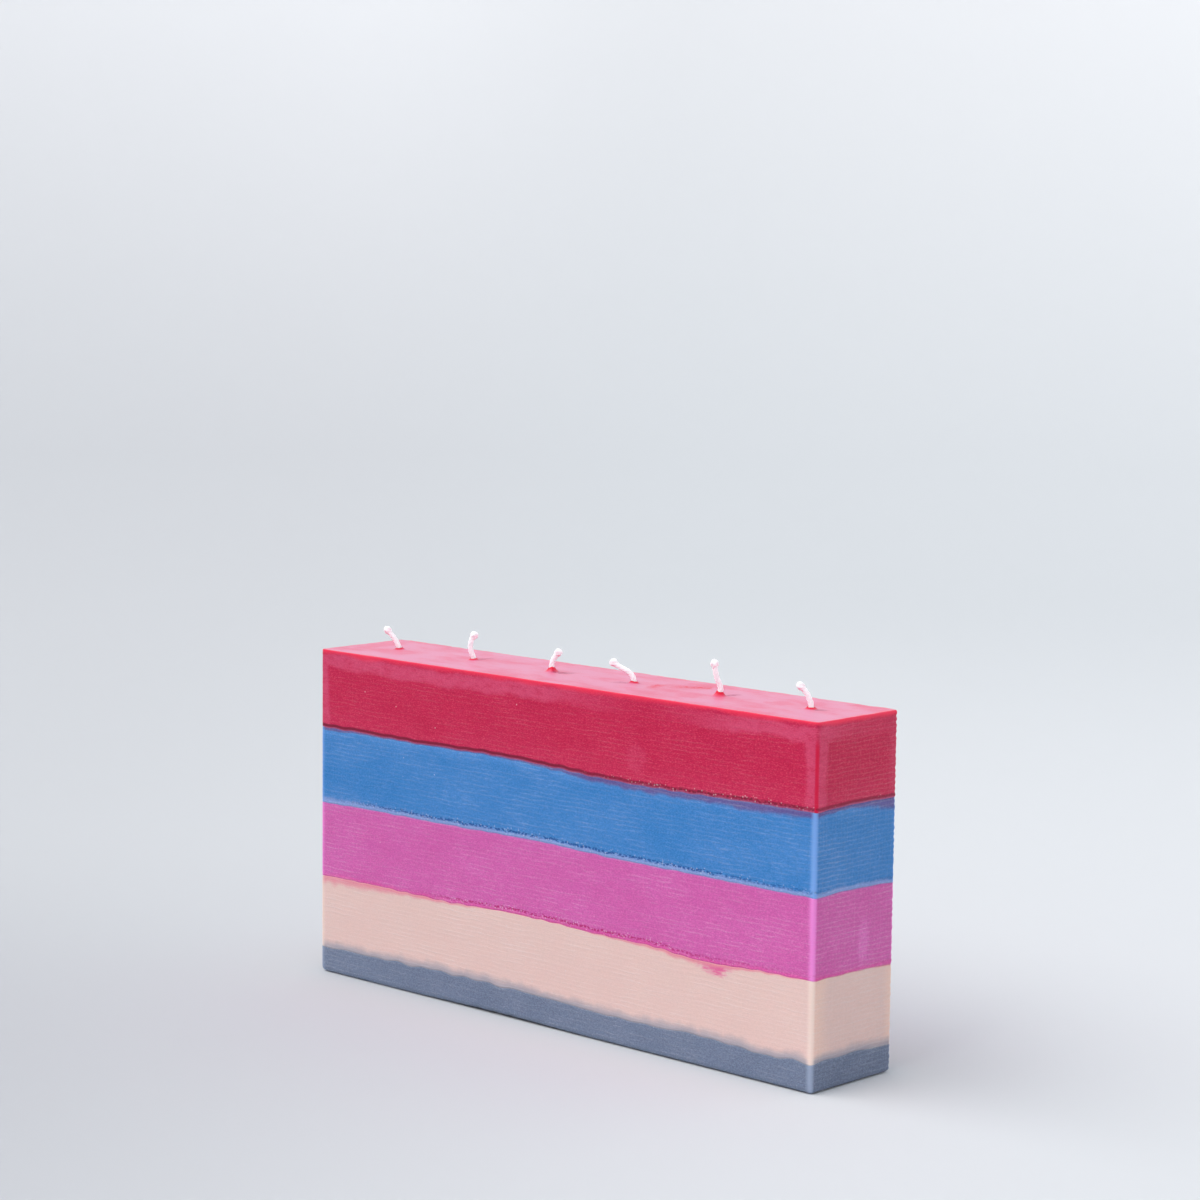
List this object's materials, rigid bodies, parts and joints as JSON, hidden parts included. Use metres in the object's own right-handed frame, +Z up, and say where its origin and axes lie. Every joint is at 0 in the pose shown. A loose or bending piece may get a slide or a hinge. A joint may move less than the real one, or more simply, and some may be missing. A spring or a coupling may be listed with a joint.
{
  "type": "multi-wick block candle",
  "caption": "Upright slab candle of stacked coloured wax pours with a row of braided cotton wicks along the top, to stand on a flat surface.",
  "frame": {"origin": "centre of the candle's footprint on the surface it stands on", "axes": "+X along the row of wicks, +Y through the thin way of the block from its front to its back, +Z up"},
  "size_m": [0.1958, 0.034, 0.1106],
  "materials": {
    "slate_wax": "satin candle wax, slate blue-grey, slightly translucent",
    "peach_wax": "satin candle wax, pale peach, slightly translucent",
    "pink_wax": "satin candle wax, orchid pink, slightly translucent",
    "blue_wax": "satin candle wax, mid blue, slightly translucent",
    "red_wax": "satin candle wax, crimson, translucent with a frosted bloom",
    "wick_cotton": "flat braided white cotton, stiff with wax"
  },
  "bodies": {
    "root": {"slate_layer": "slate_wax", "peach_layer": "peach_wax", "pink_layer": "pink_wax", "blue_layer": "blue_wax", "red_layer": "red_wax", "wick_1": "wick_cotton", "wick_2": "wick_cotton", "wick_3": "wick_cotton", "wick_4": "wick_cotton", "wick_5": "wick_cotton", "wick_6": "wick_cotton"}
  },
  "joints": []
}
